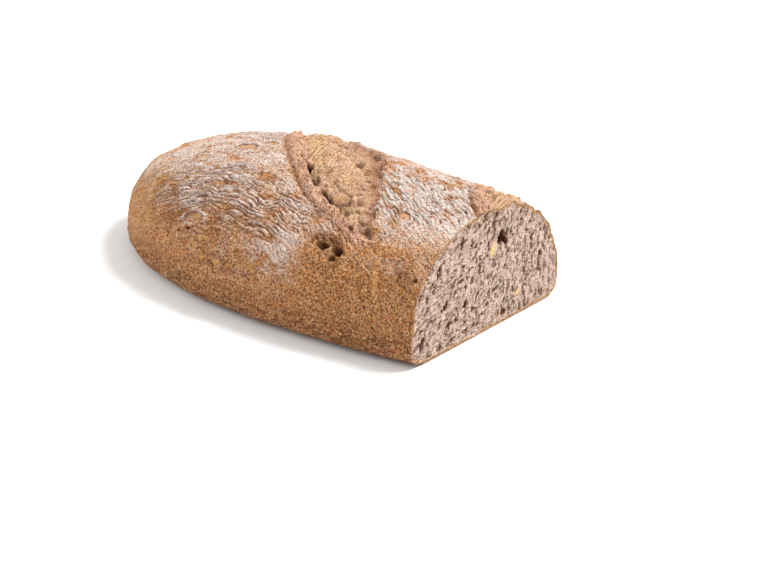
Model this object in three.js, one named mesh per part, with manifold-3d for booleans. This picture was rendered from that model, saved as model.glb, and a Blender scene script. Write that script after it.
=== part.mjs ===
// Walnut loaf: a long hearth loaf, baked in one piece, with its far end sliced away.
// Millimetres, +Z up. +X runs along the loaf from the rounded heel to the knife cut.
// The origin is on the flat base, halfway between the heel and the cut.
import * as THREE from "three";
import { mergeVertices } from "three/addons/utils/BufferGeometryUtils.js";
import Module from "manifold-3d";

const wasm = await Module();
wasm.setup();

// The loaf as baked
const WIDTH = 125; // across the widest section
const HEIGHT = 56; // base to the crown between the slashes
const HEEL_REACH = 100; // heel end to the widest section
const TOE_REACH = 176; // widest section to the end that was sliced away
const SHOULDER = 11; // base to the line where the section is widest
const SAG = 1.3; // depth of the underside that the hearth pressed flat

// The knife cut
const CUT_LENGTH = 204; // heel end to the cut face

// How full each outline is: 2 is an ellipse, more is squarer at the corners
const SECTION = { upper: 2.2, lower: 4.5 };
const PLAN = { heel: 1.85, toe: 2.1 };
const CROWN = { heel: 2.15, toe: 5 };
const BELLY = { heel: 5, toe: 5 };

// The slashes that opened in the oven, all alike and the same distance apart
const SLASH_COUNT = 2;
const SLASH_FROM_HEEL = 116; // heel end to the middle of the first slash
const SLASH_PITCH = 107; // from one slash to the next, along the loaf
const SLASH_ASIDE = 6; // middle of a slash, off the centre line
const SLASH_LENGTH = 150;
const SLASH_WIDTH = 38;
const SLASH_SWELL = 1.8; // how far the opened crumb swells above the skin
const SLASH_TURN = THREE.MathUtils.degToRad(-39); // from the loaf's length
const EAR_HEIGHT = 1.6; // the lip torn up along the heel side of a slash
const EAR_WIDTH = 6;

// Facets
const RINGS = 76;
const SIDES = 64;

const HEEL_X = -CUT_LENGTH / 2;
const WIDEST_X = HEEL_X + HEEL_REACH;
const WHOLE_LENGTH = HEEL_REACH + TOE_REACH;

const crust = new THREE.MeshStandardMaterial({ color: 0xb57a48, roughness: 0.85, metalness: 0 });

// How much of an outline's size is left at x: 1 at the widest section, 0 at both ends.
function shareAt(x, outline) {
  const away = x - WIDEST_X;
  const [reach, fullness] = away < 0 ? [HEEL_REACH, outline.heel] : [TOE_REACH, outline.toe];
  const gone = Math.min(1, Math.abs(away) / reach);
  return (1 - gone ** fullness) ** (1 / fullness);
}

// How far the crust stands out (+) or in (-) over one slash, whose middle is at middleX.
function slashRelief(x, y, middleX) {
  const forward = x - middleX;
  const aside = y - SLASH_ASIDE;
  const along = forward * Math.cos(SLASH_TURN) + aside * Math.sin(SLASH_TURN);
  const across = aside * Math.cos(SLASH_TURN) - forward * Math.sin(SLASH_TURN);
  const open = 1 - (2 * along / SLASH_LENGTH) ** 2;
  if (open <= 0) return 0;
  const edge = (SLASH_WIDTH / 2) * open;
  const inside = Math.max(0, 1 - (across / edge) ** 2);
  const ear = Math.exp(-(((across + edge) / EAR_WIDTH) ** 2));
  return open * (EAR_HEIGHT * ear + SLASH_SWELL * inside);
}

function reliefAt(x, y) {
  let relief = 0;
  for (let i = 0; i < SLASH_COUNT; i++) {
    relief += slashRelief(x, y, HEEL_X + SLASH_FROM_HEEL + i * SLASH_PITCH);
  }
  return relief;
}

// The point of the crust at x and at an angle round the section, from the +Y shoulder over the crown.
function crustPoint(x, turn) {
  const side = Math.cos(turn);
  const up = Math.sin(turn);
  const upper = up > 0;
  const fullness = upper ? SECTION.upper : SECTION.lower;
  const halfWidth = (WIDTH / 2) * shareAt(x, PLAN);
  const rise = (HEIGHT - SHOULDER) * shareAt(x, CROWN);
  const drop = (SHOULDER + SAG) * shareAt(x, BELLY);
  const y = halfWidth * Math.sign(side) * Math.abs(side) ** (2 / fullness);
  const z = (upper ? rise : -drop) * Math.abs(up) ** (2 / fullness);
  const spread = 1 + (upper ? up * reliefAt(x, y) : 0) / Math.max(SHOULDER, Math.hypot(y, z));
  return new THREE.Vector3(x, y * spread, SHOULDER + z * spread);
}

// A closed geometry as a solid to cut.
function solidOf(geometry) {
  const bare = geometry.clone();
  bare.deleteAttribute("normal");
  bare.deleteAttribute("uv");
  const closed = mergeVertices(bare, 1e-3);
  const vertProperties = closed.getAttribute("position").array;
  const triVerts = new Uint32Array(closed.index.array);
  return new wasm.Manifold(new wasm.Mesh({ numProp: 3, vertProperties, triVerts }));
}

function geometryOf(solid) {
  const mesh = solid.getMesh();
  const geometry = new THREE.BufferGeometry();
  geometry.setAttribute("position", new THREE.BufferAttribute(mesh.vertProperties, 3));
  geometry.setIndex(new THREE.BufferAttribute(mesh.triVerts, 1));
  geometry.computeVertexNormals();
  return geometry;
}

// The whole loaf: a ball whose poles are the two ends, each of its points moved out to the crust.
function wholeLoaf() {
  const ball = new THREE.SphereGeometry(1, SIDES, RINGS);
  ball.rotateZ(Math.PI / 2);
  const position = ball.getAttribute("position");
  const point = new THREE.Vector3();
  for (let i = 0; i < position.count; i++) {
    point.fromBufferAttribute(position, i);
    const x = HEEL_X + (WHOLE_LENGTH * (1 + point.x)) / 2;
    const turn = Math.atan2(point.z, point.y);
    position.setXYZ(i, ...crustPoint(x, turn));
  }
  return solidOf(ball);
}

// The space taken by the knife: everything past the cut face.
function slicedAway() {
  const block = new THREE.BoxGeometry(TOE_REACH + CUT_LENGTH, 2 * WIDTH, 4 * HEIGHT);
  block.translate(CUT_LENGTH / 2 + (TOE_REACH + CUT_LENGTH) / 2, 0, 0);
  return solidOf(block);
}

// The hearth, which keeps the base flat.
function hearth() {
  const slab = new THREE.BoxGeometry(4 * WHOLE_LENGTH, 4 * WIDTH, HEIGHT);
  slab.translate(0, 0, -HEIGHT / 2);
  return solidOf(slab);
}

const loaf = new THREE.Mesh(geometryOf(wholeLoaf().subtract(hearth()).subtract(slicedAway())), crust);
loaf.name = "loaf";

const walnutLoaf = new THREE.Group();
walnutLoaf.add(loaf);

export default walnutLoaf;
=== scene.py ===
"""A walnut loaf with its far end sliced away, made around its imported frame.

Sizes are millimetres unless a name says otherwise, and meshes are scaled to metres as they are made.
The loaf lies along X, with its rounded heel at -X, its cut face at +X and its flat base on Z = 0.
"""

import logging
import math
from dataclasses import dataclass, field
from enum import Enum
from itertools import product

import bpy
import numpy as np
from mathutils import Matrix, Vector


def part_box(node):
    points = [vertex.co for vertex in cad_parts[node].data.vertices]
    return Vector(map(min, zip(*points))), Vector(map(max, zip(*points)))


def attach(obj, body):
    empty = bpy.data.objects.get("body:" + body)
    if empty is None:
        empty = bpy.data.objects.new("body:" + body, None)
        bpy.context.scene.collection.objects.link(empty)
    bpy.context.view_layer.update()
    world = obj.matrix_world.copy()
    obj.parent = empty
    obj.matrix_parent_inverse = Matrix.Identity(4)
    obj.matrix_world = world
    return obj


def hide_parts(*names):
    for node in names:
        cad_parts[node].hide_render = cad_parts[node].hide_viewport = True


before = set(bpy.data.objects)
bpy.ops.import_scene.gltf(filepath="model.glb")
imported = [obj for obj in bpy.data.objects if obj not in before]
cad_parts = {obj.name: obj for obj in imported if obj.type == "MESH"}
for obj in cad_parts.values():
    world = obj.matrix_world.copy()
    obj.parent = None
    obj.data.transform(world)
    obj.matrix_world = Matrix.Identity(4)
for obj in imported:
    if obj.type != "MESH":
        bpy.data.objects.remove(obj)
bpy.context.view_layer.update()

METRES = 0.001
BODY = "root"
NODE = "loaf"
LIT_PLACE_M = Vector((0, 0, 0.03))

log = logging.getLogger("loaf")

Colour = tuple[float, float, float]

CELL_FACTORS = (0x8DA6B343, 0xD8163841, 0xCB1AB31F)
SEED_FACTOR = 0x9E3779B1
MIX_STEPS = ((15, 0x2C1B3C6D), (12, 0x297A2D39))


class Slot(Enum):
    """The material slots."""

    CRUST = "crust"
    CRUMB = "crumb"
    WALNUT = "walnut"


class Mask(Enum):
    """What is painted on the vertices for the finishes to read, each from 0 to 1."""

    FLOUR = "flour"
    OPENED = "opened"
    # Painted shade in holes, pits, pores, gaps, creases and the valleys of folds.
    SHADE_IN_HOLLOWS = "hollow"
    # Red-brown toasting, which also paints shade in valleys, low spots and toward the base.
    TOAST_AND_SHADE = "toast"
    GOLDEN = "golden"
    EAR = "ear"
    FLESH = "flesh"


def smooth(low: float, high: float, value: np.ndarray) -> np.ndarray:
    """A soft step.

    Args:
        low: Where the step starts.
        high: Where it ends.
        value: What is stepped.

    Returns:
        0 below low, 1 above high, and a smooth rise between them.
    """
    share = np.clip((value - low) / (high - low), 0.0, 1.0)
    return share * share * (3.0 - 2.0 * share)


def bell(distance: np.ndarray, width: float) -> np.ndarray:
    """1 at no distance, falling off smoothly over the width."""
    return np.exp(-((distance / width) ** 2))


@dataclass(frozen=True)
class Noise:
    """Noise that is the same on every run."""

    seed: int

    def bits(self, cells: np.ndarray) -> np.ndarray:
        """Scrambles whole-numbered cells.

        Args:
            cells: Whole numbers, three to a cell.

        Returns:
            One 32-bit number for each cell.
        """
        mixed = np.full(len(cells), (self.seed * SEED_FACTOR) & 0xFFFFFFFF, np.uint32)
        for axis, factor in enumerate(CELL_FACTORS):
            mixed ^= cells[:, axis].astype(np.int64).astype(np.uint32) * np.uint32(factor)
        for shift, factor in MIX_STEPS:
            mixed ^= mixed >> np.uint32(shift)
            mixed *= np.uint32(factor)
        return mixed ^ (mixed >> np.uint32(15))

    def spots(self, cells: np.ndarray) -> np.ndarray:
        """Three numbers from 0 to 1 for each cell."""
        bits = self.bits(cells)
        return np.stack([(bits >> np.uint32(k)) & np.uint32(1023) for k in (0, 10, 20)], 1) / 1023.0

    def waves(self, points: np.ndarray) -> np.ndarray:
        """Smooth waves about one unit long.

        Args:
            points: Points, three coordinates each.

        Returns:
            A value for each point, about -1 to 1.
        """
        cell = np.floor(points)
        within = points - cell
        fade = within**3 * (within * (within * 6 - 15) + 10)
        total = np.zeros(len(points))
        for corner in product((0, 1), repeat=3):
            slope = self.spots(cell + corner) * 2 - 1
            weight = np.prod(np.where(corner, fade, 1 - fade), axis=1)
            total += weight * ((within - corner) * slope).sum(1)
        return total * 1.7

    def fractal(self, points: np.ndarray, size: float, octaves: int = 3) -> np.ndarray:
        """Waves of a size, with finer ones on them.

        Args:
            points: Points, three coordinates each.
            size: Length of the largest waves.
            octaves: How many sizes, each half the one before.

        Returns:
            A value for each point, about -1 to 1.
        """
        total = np.zeros(len(points))
        for k in range(octaves):
            total += Noise(self.seed + 7 * k).waves(points * (2**k / size)) * 0.5**k
        return total / (2 - 0.5 ** (octaves - 1))

    def grains(self, points: np.ndarray, size: float) -> np.ndarray:
        """How near each point is to the middle of a grain.

        Args:
            points: Points, three coordinates each.
            size: Spacing of the grains.

        Returns:
            1 in the middle of a grain, falling to 0 between grains.
        """
        scaled = points / size
        cell = np.floor(scaled)
        nearest = np.full(len(points), np.inf)
        for corner in product((-1, 0, 1), repeat=3):
            middle = cell + corner + self.spots(cell + corner)
            nearest = np.minimum(nearest, ((scaled - middle) ** 2).sum(1))
        return np.clip(1 - np.sqrt(nearest), 0, 1)


@dataclass(frozen=True)
class Outline:
    """How an outline tapers to the two ends: 2 is an ellipse, and more is fuller."""

    heel: float
    toe: float


@dataclass
class LoafForm:
    """The smooth shape of the baked loaf, before its crust is roughened."""

    length: float
    width: float
    top: float
    heel_reach: float = 100.0
    toe_reach: float = 176.0
    shoulder: float = 11.0
    sag: float = 1.3
    swell: float = 1.8
    upper: float = 2.2
    lower: float = 4.5
    plan: Outline = Outline(1.85, 2.1)
    crown: Outline = Outline(2.15, 5.0)
    belly: Outline = Outline(5.0, 5.0)

    @classmethod
    def from_frame(cls) -> "LoafForm":
        """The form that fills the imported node's box."""
        low, high = (np.array(corner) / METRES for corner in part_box(NODE))
        return cls(high[0] - low[0], high[1] - low[1], high[2] - low[2])

    @property
    def cut_x(self) -> float:
        """Where the knife went through."""
        return self.length / 2

    @property
    def heel_x(self) -> float:
        """The rounded end."""
        return -self.length / 2

    def share(self, x: np.ndarray, outline: Outline) -> np.ndarray:
        """How much of an outline's size is left at x.

        Args:
            x: Places along the loaf.
            outline: The outline that tapers.

        Returns:
            1 at the widest section, and 0 at both ends.
        """
        away = x - (self.heel_x + self.heel_reach)
        reach = np.where(away < 0, self.heel_reach, self.toe_reach)
        full = np.where(away < 0, outline.heel, outline.toe)
        return (1 - np.minimum(1, np.abs(away) / reach) ** full) ** (1 / full)

    def section(self, x: float, turn: np.ndarray) -> np.ndarray:
        """The loaf's section at x.

        Args:
            x: Place along the loaf.
            turn: Angles round the section, from the +Y shoulder over the crown.

        Returns:
            Y and Z of each point.
        """
        side, up = np.cos(turn), np.sin(turn)
        full = np.where(up > 0, self.upper, self.lower)
        at = np.array([x])
        half = self.width / 2 * self.share(at, self.plan)
        rise = (self.top - self.swell - self.shoulder) * self.share(at, self.crown)
        drop = (self.shoulder + self.sag) * self.share(at, self.belly)
        y = half * np.sign(side) * np.abs(side) ** (2 / full)
        z = self.shoulder + np.where(up > 0, rise, -drop) * np.abs(up) ** (2 / full)
        return np.stack([y, np.maximum(z, 0)], 1)


@dataclass
class Skin:
    """A grid of points over the loaf's outside, and the directions and places on it."""

    form: LoafForm
    step: float = 0.4
    base_step: float = 0.8
    corner: float = math.radians(-51)
    arc_samples: int = 1400
    place_samples: int = 6000
    tip: float = 0.004
    points: np.ndarray = field(init=False)
    out: np.ndarray = field(init=False)
    over: np.ndarray = field(init=False)
    around: int = field(init=False)
    rings: int = field(init=False)

    def __post_init__(self) -> None:
        """Lays the grid out, ring by ring from the heel to the cut."""
        places = self.ring_places()
        middle = self.form.heel_x + self.form.heel_reach
        upper = self.arc(middle, self.corner, math.pi - self.corner)[1][-1]
        lower = self.arc(middle, -math.pi - self.corner, self.corner)[1][-1]
        counts = round(upper / self.step), round(lower / self.base_step)
        rows = [self.ring(x, *counts) for x in places]
        self.points = np.array([row[0] for row in rows])
        self.over = np.array([row[1] for row in rows]).ravel()
        self.rings, self.around = self.points.shape[:2]
        self.out = self.normals(self.points)

    def ring_places(self) -> np.ndarray:
        """Places along the loaf, closer together where the heel curves in.

        Returns:
            The X of each ring.
        """
        form = self.form
        x = form.heel_x + form.length * np.linspace(self.tip, 1, self.place_samples) ** 2
        height = form.top * form.share(x, form.crown)
        half = form.width / 2 * form.share(x, form.plan)
        steps = np.sqrt(np.diff(x) ** 2 + (np.diff(height) ** 2 + np.diff(half) ** 2) / 2)
        run = np.concatenate([[0], np.cumsum(steps)])
        return np.interp(np.linspace(0, run[-1], round(run[-1] / self.step)), run, x)

    def arc(self, x: float, start: float, end: float) -> tuple[np.ndarray, np.ndarray]:
        """A stretch of one section.

        Args:
            x: Place along the loaf.
            start: Angle where the stretch starts.
            end: Angle where it ends.

        Returns:
            The Y and Z of many points on it, and how far along it each one is.
        """
        curve = self.form.section(x, np.linspace(start, end, self.arc_samples))
        steps = np.hypot(*np.diff(curve, axis=0).T)
        return curve, np.concatenate([[0], np.cumsum(steps)])

    def ring(self, x: float, upper: int, lower: int) -> tuple[np.ndarray, np.ndarray]:
        """One ring of evenly spaced points.

        Args:
            x: Place along the loaf.
            upper: Number of points over the crown.
            lower: Number of points under the base.

        Returns:
            The points, and each one's distance over the crust from the crown, which is +Y ahead.
        """
        made, over = [], []
        for count, start, end in (
            (upper, self.corner, math.pi - self.corner),
            (lower, -math.pi - self.corner, self.corner),
        ):
            curve, run = self.arc(x, start, end)
            at = np.linspace(0, run[-1], count, endpoint=False)
            made.append(np.stack([np.full(count, x), *(np.interp(at, run, c) for c in curve.T)], 1))
            over.append(run[-1] / 2 - at)
        return np.concatenate(made), np.concatenate(over)

    @staticmethod
    def normals(points: np.ndarray) -> np.ndarray:
        """The outward directions of a grid.

        Args:
            points: The grid, ring by ring.

        Returns:
            One unit vector for each point, in one row.
        """
        along = np.gradient(points, axis=0)
        round_it = np.roll(points, -1, 1) - np.roll(points, 1, 1)
        out = np.cross(round_it, along).reshape(-1, 3)
        return out / np.maximum(np.linalg.norm(out, axis=1, keepdims=True), 1e-9)


@dataclass
class Surface:
    """The crust as it is being worked: its points, and what is painted on them."""

    points: np.ndarray
    out: np.ndarray
    over: np.ndarray
    spot_depth: float = 12.0
    turned_away: float = -0.2
    far: float = 1e3
    rise: np.ndarray = field(init=False)
    lean: np.ndarray = field(init=False)
    paint: dict[Mask, np.ndarray] = field(init=False)

    def __post_init__(self) -> None:
        """Starts with a smooth, bare crust."""
        count = len(self.points)
        self.rise = np.zeros(count)
        self.lean = np.zeros((count, 3))
        self.paint = {mask: np.zeros(count) for mask in Mask}

    def work(self, feature: "Feature") -> None:
        """Works a feature into the part of the crust that it reaches.

        Args:
            feature: What is worked in.
        """
        near = np.flatnonzero(feature.reaches(self.points))
        part = Surface(self.points[near], self.out[near], self.over[near])
        part.rise, part.lean = self.rise[near], self.lean[near]
        part.paint = {mask: values[near] for mask, values in self.paint.items()}
        feature.work(part)
        self.rise[near], self.lean[near] = part.rise, part.lean
        for mask, values in part.paint.items():
            self.paint[mask][near] = values

    def local(self, middle: tuple[float, float, float], turn: float) -> tuple[np.ndarray, np.ndarray]:
        """Places near one spot of the crust.

        Args:
            middle: The spot.
            turn: Which way "along" points there, in degrees from +X.

        Returns:
            Distance along and across for each point, very large far from the spot.
        """
        away = self.points - np.array(middle)
        near = np.argmin((away**2).sum(1))
        out = self.out[near]
        side = np.cross(out, (1.0, 0.0, 0.0))
        side /= np.linalg.norm(side)
        ahead = np.cross(side, out)
        along = math.cos(math.radians(turn)) * ahead + math.sin(math.radians(turn)) * side
        beyond = (away @ out < -self.spot_depth) | (self.out @ out < self.turned_away)
        far = np.where(beyond, self.far, 0)
        return away @ along + far, away @ np.cross(out, along) + far

    def finished(self) -> np.ndarray:
        """The points, moved by everything that has been worked in."""
        return self.points + self.out * self.rise[:, None] + self.lean


class Feature:
    """Something that the oven or the baker left on the crust."""

    def reaches(self, points: np.ndarray) -> np.ndarray:
        """Which points it may touch."""
        return np.ones(len(points), bool)

    def work(self, crust: Surface) -> None:
        """Works it into the crust."""
        raise NotImplementedError


@dataclass
class Slash(Feature):
    """A slash that opened in the oven: a torn lip, a sunk joint and swollen crumb beyond it."""

    middle_x: float
    middle_y: float = 6.0
    turn: float = math.radians(-39)
    half_length: float = 73.0
    ear_reach: float = 20.6
    far_reach: float = 18.0
    ear_height: float = 2.5
    joint_depth: float = 2.6
    swell: float = 1.7
    strand_turn: float = math.radians(34)
    strand_spacing: float = 2.3
    strand_height: float = 1.9
    lump_height: float = 1.4
    torn_height: float = 2.4
    bubble_height: float = 1.9
    fine_height: float = 0.65
    pit_depth: float = 1.6
    sunk: float = 1.2
    seed: int = 3

    def reaches(self, points: np.ndarray) -> np.ndarray:
        """Which points it may touch."""
        return (np.abs(points[:, 0] - self.middle_x) < self.half_length) & (points[:, 2] > 10)

    def work(self, crust: Surface) -> None:
        """Opens the slash in the crust.

        Args:
            crust: The crust to work.
        """
        x, y = crust.points[:, 0] - self.middle_x, crust.points[:, 1] - self.middle_y
        cos, sin = math.cos(self.turn), math.sin(self.turn)
        along, across = x * cos + y * sin, y * cos - x * sin
        line = np.stack([along, np.zeros_like(along), np.full_like(along, self.middle_x)], 1)
        gone = np.clip(np.abs(along) / self.half_length, 0, 1)
        upper = smooth(12, 22, crust.points[:, 2])
        opened = (1 - gone**2.4) * upper
        lip = -self.ear_reach * (1 - gone**2.6) + Noise(self.seed).fractal(line, 14, 4) * 1.5
        skin = self.far_reach * (1 - gone**1.4) + Noise(self.seed + 1).fractal(line, 9, 4) * 2.4
        wide = np.maximum(skin - lip, 0.5)
        inside = smooth(0, 0.9, across - lip) * smooth(0, 1.0, skin - across) * upper
        place = np.stack([along, across - lip], 1)
        stretched = inside * self.stretched(place)
        self.swollen(crust, inside * (1 - 0.75 * stretched), np.clip((across - lip) / wide, 0, 1), opened)
        crust.paint[Mask.OPENED] = np.maximum(crust.paint[Mask.OPENED], inside)
        self.strands(crust, stretched, along, across)
        self.ear(crust, place, opened, inside)
        self.far_skin(crust, across - skin, opened)

    def lip_width(self, along: np.ndarray) -> np.ndarray:
        """How wide the torn lip is: broad toward -X, and narrow toward the other end."""
        return np.interp(along, (-60, -35, -12, 4, 20, 45, 60, 73), (2, 7.5, 8, 4.6, 3.6, 3.8, 2.2, 1))

    def stretched(self, place: np.ndarray) -> np.ndarray:
        """Where the dough was pulled out in strands.

        Args:
            place: Distance along the lip, and past it into the slash.

        Returns:
            1 in the gutter beside the lip's broad part, and 0 away from it.
        """
        along, beyond = place.T
        gutter = bell(beyond - self.lip_width(along) - 3.2, 4.2)
        return smooth(0.15, 0.6, gutter * smooth(-34, -24, along) * smooth(17, 9, along))

    def swollen(self, crust: Surface, inside: np.ndarray, share: np.ndarray, opened: np.ndarray) -> None:
        """The opened crumb, rough and lumpy.

        Args:
            crust: The crust to work.
            inside: 1 inside the slash.
            share: 0 at the lip and 1 at the far skin.
            opened: How far the slash has opened at that place.
        """
        points = crust.points
        lumps = Noise(self.seed + 10).fractal(points, 12, 2)
        torn = Noise(self.seed + 20).fractal(points, 4.2, 4)
        fine = 1 - 2 * np.abs(Noise(self.seed + 23).fractal(points, 2.0, 2))
        bubbly = smooth(0.0, 0.4, Noise(self.seed + 25).fractal(points, 13, 2))
        bubbles = np.sqrt(Noise(self.seed + 30).grains(points, 6.0)) * bubbly
        pits = smooth(0.72, 0.88, Noise(self.seed + 40).grains(points, 7.5) + torn * 0.15)
        height = self.swell * 4 * share * (1 - share) * opened
        height = height + lumps * self.lump_height + torn * self.torn_height + bubbles * self.bubble_height
        crust.rise += inside * (height + fine * self.fine_height - self.sunk - pits * self.pit_depth)
        low = smooth(-0.1, 0.7, -torn - 0.5 * lumps)
        # Painted shade in the opened crumb's pits, low spots and fine valleys, and a redder tone in its low
        # spots and toward the far skin that is partly painted shade.
        crust.paint[Mask.SHADE_IN_HOLLOWS] += inside * (pits * 0.5 + low * 0.35 + smooth(0.2, -0.6, fine) * 0.2)
        crust.paint[Mask.TOAST_AND_SHADE] += inside * (low * 0.7 + smooth(0.6, 1.0, share) * 0.55)
        crust.paint[Mask.GOLDEN] += inside * smooth(0.1, 0.7, bubbles) * 0.35

    def strands(self, crust: Surface, where: np.ndarray, along: np.ndarray, across: np.ndarray) -> None:
        """Strands of dough, stretched at a slant over the gutter.

        Args:
            crust: The crust to work.
            where: 1 where the dough is stretched.
            along: Distance along the slash.
            across: Distance across it.
        """
        uneven = Noise(self.seed + 44).fractal(crust.points, 5, 2)
        beside = along * math.sin(self.strand_turn) + across * math.cos(self.strand_turn) + uneven * 0.9
        threads = np.abs(np.cos(math.pi * beside / self.strand_spacing))
        deep = where * smooth(-0.5, 0.2, uneven)
        crust.rise += deep * (threads - 0.9) * self.strand_height
        # Painted shade in the slits between the strands.
        crust.paint[Mask.SHADE_IN_HOLLOWS] += deep * smooth(0.62, 0.2, threads) * 0.75
        crust.paint[Mask.GOLDEN] += where * 0.75
        crust.paint[Mask.TOAST_AND_SHADE] *= 1 - where

    def ear(self, crust: Surface, place: np.ndarray, opened: np.ndarray, inside: np.ndarray) -> None:
        """The lip that tore up, sloping down to the sunk joint behind it.

        Args:
            crust: The crust to work.
            place: Distance along the lip, and past it into the slash.
            opened: How far the slash has opened at that place.
            inside: 1 inside the slash.
        """
        along, beyond = place.T
        wide = self.lip_width(along)
        ragged = Noise(self.seed + 50).fractal(crust.points, 4, 3)
        drawn_out = np.stack([along / 7, beyond, np.zeros_like(along)], 1)
        fibres = Noise(self.seed + 55).fractal(drawn_out, 1.1, 3)
        crest = np.where(beyond < 1.2, bell(beyond - 1.2, 1.7), bell(beyond - 1.2, wide * 0.42)) * opened
        lengthwise = np.stack([along / 2.4, beyond, np.full_like(along, self.seed)], 1)
        torn_free = bell(along - 20, 24) + bell(along + 48, 16)
        gaps = smooth(-0.1, 0.22, Noise(self.seed + 57).fractal(lengthwise, 3.1, 4))
        gaps = gaps * smooth(0.1, 0.6, torn_free)
        joint = bell(beyond - wide - 0.9 - ragged * 0.8, 1.4) * opened
        crust.rise += crest * (self.ear_height + ragged * 1.2) + fibres * 1.2 * crest
        crust.rise -= joint * self.joint_depth * (0.35 + 1.3 * gaps) + bell(beyond + 2.3, 0.8) * opened * 0.8
        over_it = np.array([-math.sin(self.turn), math.cos(self.turn), 0.0])
        crust.lean += (crest * smooth(-1.0, 2.0, beyond) * smooth(7, 4, wide) * 1.6)[:, None] * over_it
        band = smooth(-1.2, -0.2, beyond + ragged) * smooth(0.9, -0.4, beyond - wide)
        band = band * smooth(0.03, 0.2, opened)
        crust.paint[Mask.EAR] += band * (0.85 + 0.3 * ragged)
        # A redder line along the groove outside the lip, partly painted shade.
        crust.paint[Mask.TOAST_AND_SHADE] += bell(beyond + 1.9, 0.8) * opened * (0.9 + ragged) - band * 0.5
        crust.paint[Mask.OPENED] *= 1 - band * 0.5
        crust.paint[Mask.FLOUR] *= 1 - band * 0.85
        # Painted shade in the joint's gaps, along the groove outside the lip and between the lip's fibres.
        crust.paint[Mask.SHADE_IN_HOLLOWS] += joint * inside * smooth(0.3, 0.8, gaps)
        crust.paint[Mask.SHADE_IN_HOLLOWS] += bell(beyond + 2.1, 0.5) * opened * smooth(0.0, 0.4, ragged) * 0.5
        crust.paint[Mask.FLOUR] *= 1 - bell(beyond + 1.9, 1.3) * opened * 0.8
        crust.paint[Mask.SHADE_IN_HOLLOWS] += band * smooth(0.2, 0.6, -fibres) * 0.55

    def far_skin(self, crust: Surface, beyond: np.ndarray, opened: np.ndarray) -> None:
        """The edge of the skin that the slash pulled away from.

        Args:
            crust: The crust to work.
            beyond: Distance past the far edge, out of the slash.
            opened: How far the slash has opened at that place.
        """
        ragged = Noise(self.seed + 60).fractal(crust.points, 5, 3)
        crust.rise += bell(beyond - 1.3, 1.3) * opened * (1.1 + ragged * 1.6)
        crust.rise -= bell(beyond + 2.2, 1.7) * opened * 1.3
        # A redder band inside the far skin's raised edge, partly painted shade.
        crust.paint[Mask.TOAST_AND_SHADE] += bell(beyond + 2.2, 2.6) * opened * 0.9
        crust.paint[Mask.FLOUR] -= bell(beyond - 1.0, 3.4) * opened * (0.28 - ragged * 0.35)


@dataclass
class Wrinkles(Feature):
    """Fine folds that flow over the skin, deepest in a few patches, with flour on their crests and painted
    shade in their valleys.
    """

    patches: list[tuple[float, float, float, float, float]]
    spacing: float = 1.95
    length: float = 14.0
    height: float = 1.1
    steepest: float = 0.85
    shallowest: float = -0.53
    bend: float = -0.0103
    level_x: float = -1.3
    change_x: tuple[float, float] = (0.0, 40.0)
    sharp: tuple[float, float] = (2.0, 0.85)
    bare: tuple[float, float] = (0.6, 0.75)
    # Painted shade in the valleys, at the two ends of the change along X.
    dark: tuple[float, float] = (0.45, 1.0)
    seed: int = 5

    def flow(self, crust: Surface) -> tuple[np.ndarray, np.ndarray]:
        """Places along and across the folds, which arch from one end of the loaf to the other.

        Args:
            crust: The crust to work.

        Returns:
            Distance along the loaf, and across the folds, for each point.
        """
        places = np.linspace(-120, 120, 2401)
        slope = np.clip(self.bend * (places - self.level_x), self.shallowest, self.steepest)
        arch = np.cumsum(slope) * (places[1] - places[0])
        x = crust.points[:, 0]
        return x, crust.over - np.interp(x, places, arch)

    def work(self, crust: Surface) -> None:
        """Folds the crust, and leaves flour on the folds.

        Args:
            crust: The crust to work.
        """
        x, across = self.flow(crust)
        soft = Noise(self.seed).fractal(crust.points, 17, 3)
        depth = np.full_like(x, 0.3)
        for at_x, at_over, reach_x, reach_over, strength in self.patches:
            off = ((x - at_x) / reach_x) ** 2 + ((crust.over - at_over) / reach_over) ** 2
            depth = np.maximum(depth, strength * smooth(1.15, 0.35, off + soft * 0.55))
        unbroken = (1 - crust.paint[Mask.OPENED]) * (1 - crust.paint[Mask.EAR])
        depth *= unbroken * smooth(5, 22, crust.points[:, 2])
        across += soft * 2.6 + Noise(self.seed + 1).fractal(crust.points, 7, 2) * 0.9
        place = np.stack([x / self.length, across / 5, np.full_like(x, self.seed)], 1)
        phase = across / self.spacing + Noise(self.seed + 2).fractal(place, 1, 3) * 1.9
        drawn = smooth(-0.5, 0.4, Noise(self.seed + 4).fractal(place * np.array([1.3, 1.9, 1]), 1, 2))
        pairs = self.sharp, self.bare, self.dark
        sharp, bare, dark = (np.interp(x, self.change_x, pair) for pair in pairs)
        crests = np.abs(np.cos(math.pi * phase)) ** sharp * (0.25 + 0.75 * drawn)
        broken = smooth(-0.6, 0.2, Noise(self.seed + 3).fractal(crust.points, 6, 3))
        depth *= 0.4 + 0.6 * broken
        crust.rise += depth * self.height * (crests - 0.4) * 1.4
        crust.paint[Mask.FLOUR] += depth * (crests - 0.38) * bare
        crust.paint[Mask.FLOUR] *= 1 - np.minimum(depth, 1) * bare * smooth(0.42, 0.08, crests)
        # A redder tone and painted shade in the valleys between the folds.
        crust.paint[Mask.TOAST_AND_SHADE] += depth * 0.9 * smooth(0.5, 0.0, crests)
        crust.paint[Mask.SHADE_IN_HOLLOWS] += depth * drawn * dark * smooth(0.3, 0.04, crests)


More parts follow.
